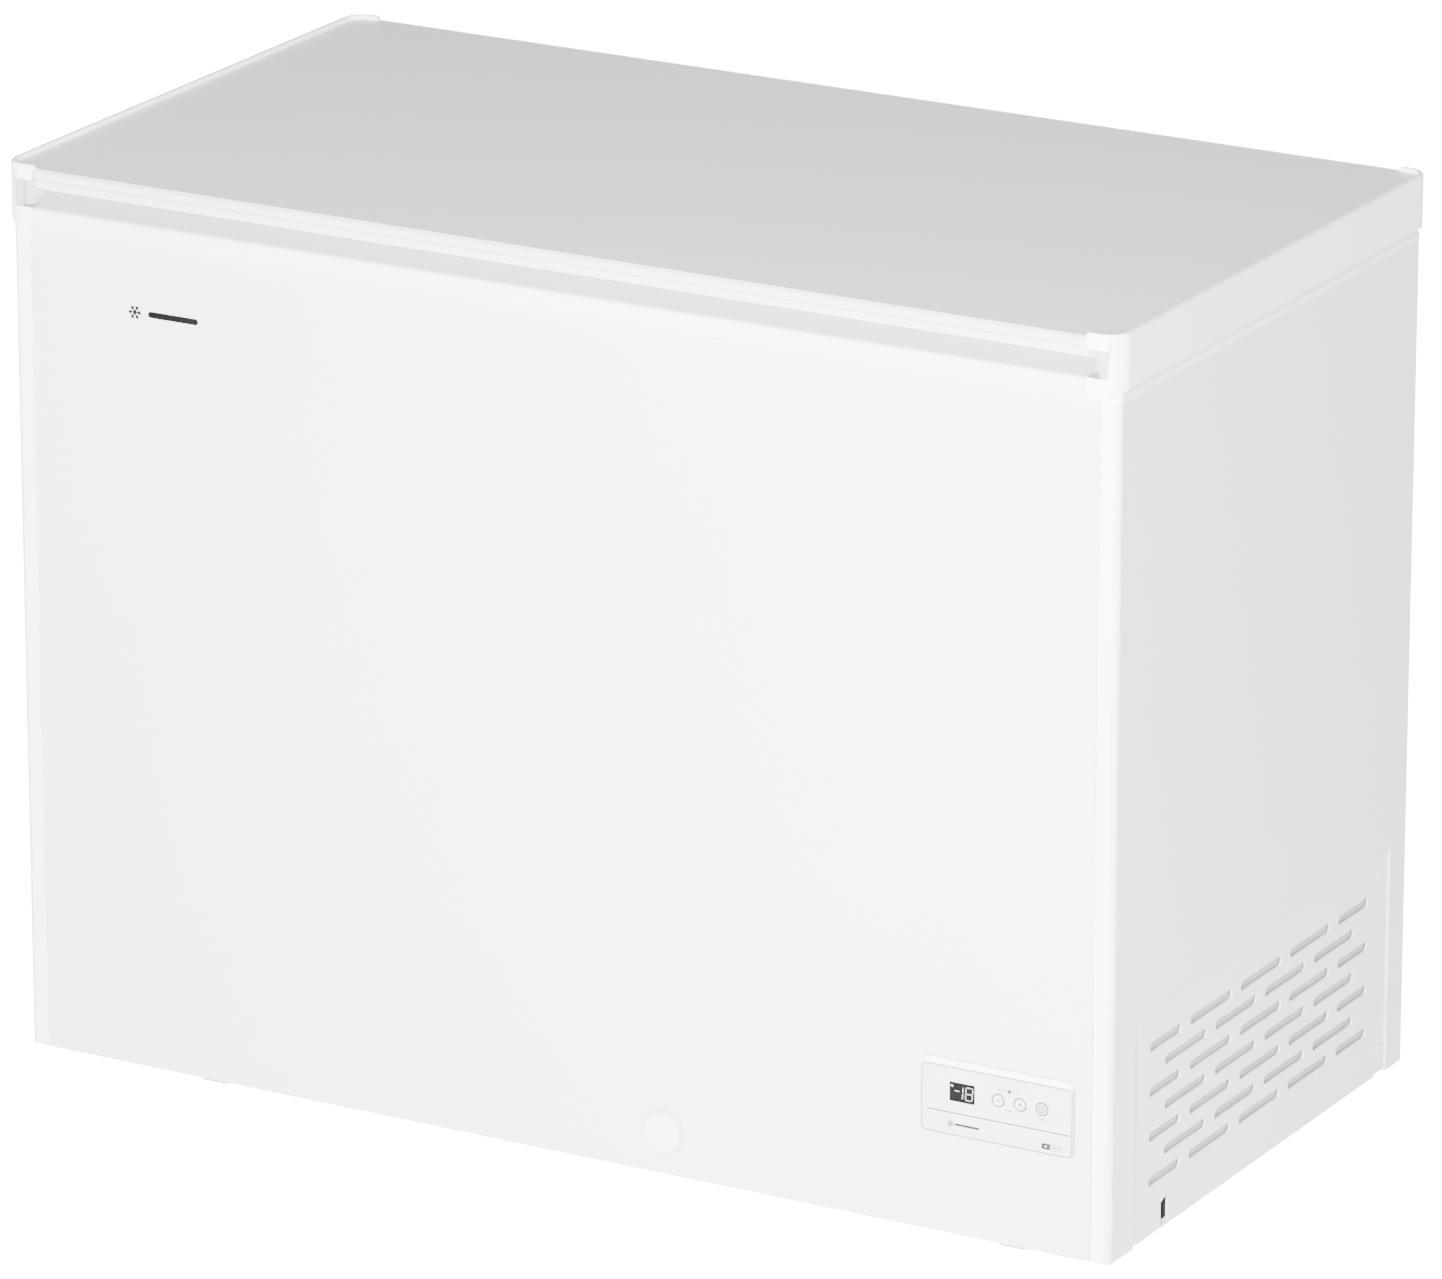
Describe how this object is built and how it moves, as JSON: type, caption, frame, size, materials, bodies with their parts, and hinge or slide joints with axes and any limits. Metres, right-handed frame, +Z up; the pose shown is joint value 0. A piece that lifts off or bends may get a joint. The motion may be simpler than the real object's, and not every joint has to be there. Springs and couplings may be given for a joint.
{
  "type": "chest freezer",
  "caption": "Free-standing chest freezer with a hinged insulated lid, full-width front handle, digital control panel, drain cap, side vent grille and castors.",
  "frame": {"origin": "centre of the overall bounding box, on the floor under the castors", "axes": "+X along the width towards the machine compartment, +Y towards the hinges at the back, +Z up"},
  "size_m": [1.072, 0.5824, 0.845],
  "materials": {
    "white_steel": "satin",
    "zinc_steel": "satin",
    "foam_core": "matte",
    "liner_sheet": "satin",
    "white_plastic": "satin",
    "key_plastic": "satin",
    "black_plastic": "matte",
    "display_black": "gloss",
    "circuit_board": "satin",
    "emblem_grey": "satin",
    "black_steel": "satin",
    "copper": "satin",
    "castor_plastic": "satin",
    "gasket_rubber": "matte",
    "filter_fleece": "matte",
    "basket_wire": "satin"
  },
  "bodies": {
    "cabinet": {"side_panel_left": "white_steel", "side_panel_right": "white_steel", "front_panel": "white_steel", "rear_panel": "white_steel", "base_pan": "zinc_steel", "compressor_tray": "zinc_steel", "machine_housing": "zinc_steel", "foam_insulation": "foam_core", "inner_liner": "liner_sheet", "top_collar": "white_plastic", "vent_grille": "white_plastic", "dust_filter": "filter_fleece", "grille_screws": "zinc_steel", "cord_gland": "black_plastic", "control_bezel": "white_plastic", "display_window": "display_black", "control_board": "circuit_board", "drain_tube": "white_plastic", "front_emblem": "emblem_grey", "hinge_bracket_left": "zinc_steel", "hinge_bracket_right": "zinc_steel", "hinge_pin_left": "zinc_steel", "hinge_pin_right": "zinc_steel", "hinge_screws_left": "zinc_steel", "hinge_screws_right": "zinc_steel", "compressor": "black_steel", "compressor_mount": "zinc_steel", "relay_box": "black_plastic", "filter_drier": "copper", "refrigerant_tubes": "copper", "castor_frame_fl": "zinc_steel", "castor_frame_fr": "zinc_steel", "castor_frame_bl": "zinc_steel", "castor_frame_br": "zinc_steel", "castor_axle_fl": "zinc_steel", "castor_axle_fr": "zinc_steel", "castor_axle_bl": "zinc_steel", "castor_axle_br": "zinc_steel"},
    "lid": {"lid_top_panel": "white_steel", "lid_handle_lip": "white_plastic", "lid_handle_rail": "white_plastic", "lid_end_frame_left": "white_plastic", "lid_end_frame_right": "white_plastic", "lid_rear_rail": "white_plastic", "lid_foam": "foam_core", "lid_inner_panel": "white_plastic", "lid_gasket": "gasket_rubber", "hinge_leaf_left": "zinc_steel", "hinge_leaf_right": "zinc_steel", "hinge_leaf_screws": "zinc_steel"},
    "basket": {"storage_basket": "basket_wire"},
    "key_minus": {"button_minus": "key_plastic"},
    "key_plus": {"button_plus": "key_plastic"},
    "key_power": {"button_power": "key_plastic"},
    "drain_cap": {"drain_plug": "white_plastic"},
    "wheel_fl": {"castor_wheel_fl": "castor_plastic"},
    "wheel_fr": {"castor_wheel_fr": "castor_plastic"},
    "wheel_bl": {"castor_wheel_bl": "castor_plastic"},
    "wheel_br": {"castor_wheel_br": "castor_plastic"}
  },
  "joints": [
    {"name": "lid_hinge", "type": "hinge", "parent": "cabinet", "child": "lid", "pos_m": [0, 0.28625, 0.7935], "axis": [-1, 0, 0], "range_deg": [0, 80]},
    {"name": "basket_slide", "type": "slide", "parent": "cabinet", "child": "basket", "axis": [1, 0, 0], "range_m": [0, 0.66]},
    {"name": "press_minus", "type": "slide", "parent": "cabinet", "child": "key_minus", "axis": [0, 1, 0], "range_m": [0, 0.0008], "stiffness_N_per_m": 1500, "springref_m": -0.0004},
    {"name": "press_plus", "type": "slide", "parent": "cabinet", "child": "key_plus", "axis": [0, 1, 0], "range_m": [0, 0.0008], "stiffness_N_per_m": 1500, "springref_m": -0.0004},
    {"name": "press_power", "type": "slide", "parent": "cabinet", "child": "key_power", "axis": [0, 1, 0], "range_m": [0, 0.0008], "stiffness_N_per_m": 1500, "springref_m": -0.0004},
    {"name": "drain_cap_pull", "type": "slide", "parent": "cabinet", "child": "drain_cap", "axis": [0, -1, 0], "range_m": [0, 0.045]},
    {"name": "wheel_spin_fl", "type": "hinge", "parent": "cabinet", "child": "wheel_fl", "pos_m": [-0.397, -0.18975, 0.018], "axis": [1, 0, 0], "continuous": true},
    {"name": "wheel_spin_fr", "type": "hinge", "parent": "cabinet", "child": "wheel_fr", "pos_m": [0.397, -0.18975, 0.018], "axis": [1, 0, 0], "continuous": true},
    {"name": "wheel_spin_bl", "type": "hinge", "parent": "cabinet", "child": "wheel_bl", "pos_m": [-0.397, 0.18225, 0.018], "axis": [1, 0, 0], "continuous": true},
    {"name": "wheel_spin_br", "type": "hinge", "parent": "cabinet", "child": "wheel_br", "pos_m": [0.397, 0.18225, 0.018], "axis": [1, 0, 0], "continuous": true}
  ]
}
